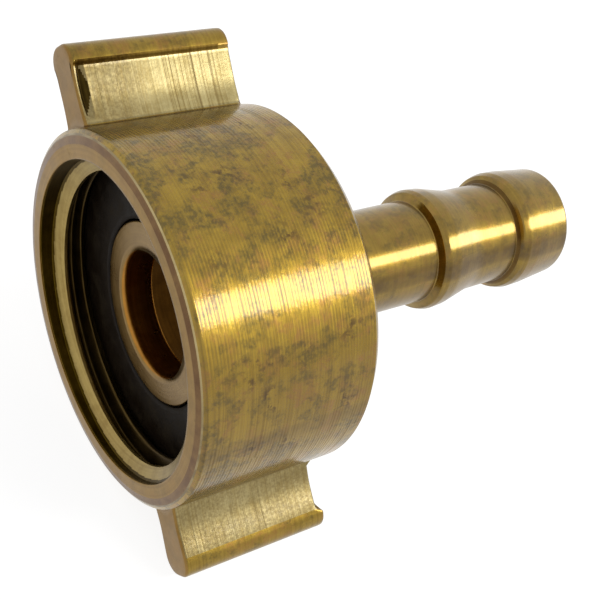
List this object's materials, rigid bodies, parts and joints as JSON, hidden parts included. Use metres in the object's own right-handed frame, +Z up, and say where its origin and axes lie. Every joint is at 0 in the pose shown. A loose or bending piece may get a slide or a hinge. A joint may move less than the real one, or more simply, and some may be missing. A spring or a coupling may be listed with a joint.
{
  "type": "hose barb tail",
  "caption": "Brass hose tail: a swivelling wing nut with a parallel pipe thread holds a barbed hose end and a flat rubber sealing washer.",
  "frame": {"origin": "on the common axis where the nut's thread begins, 1.1 mm inside the nut's mouth", "axes": "+X along the axis from the nut's mouth to the tip of the hose tail; +Z up as the fitting lies on its side on the nut's barrel and one wing tip; +Y completes a right-handed frame"},
  "size_m": [0.0474, 0.0338, 0.031],
  "materials": {
    "nut_brass": "turned, aged and stained",
    "tail_brass": "turned, satin",
    "washer_rubber": "matt black"
  },
  "bodies": {
    "nut": {"wing_nut": "nut_brass"},
    "tail": {"hose_tail": "tail_brass", "sealing_washer": "washer_rubber"}
  },
  "joints": [
    {"name": "tail_spin", "type": "hinge", "parent": "nut", "child": "tail", "pos_m": [0.0116, 0, 0], "axis": [1, 0, 0], "continuous": true}
  ]
}
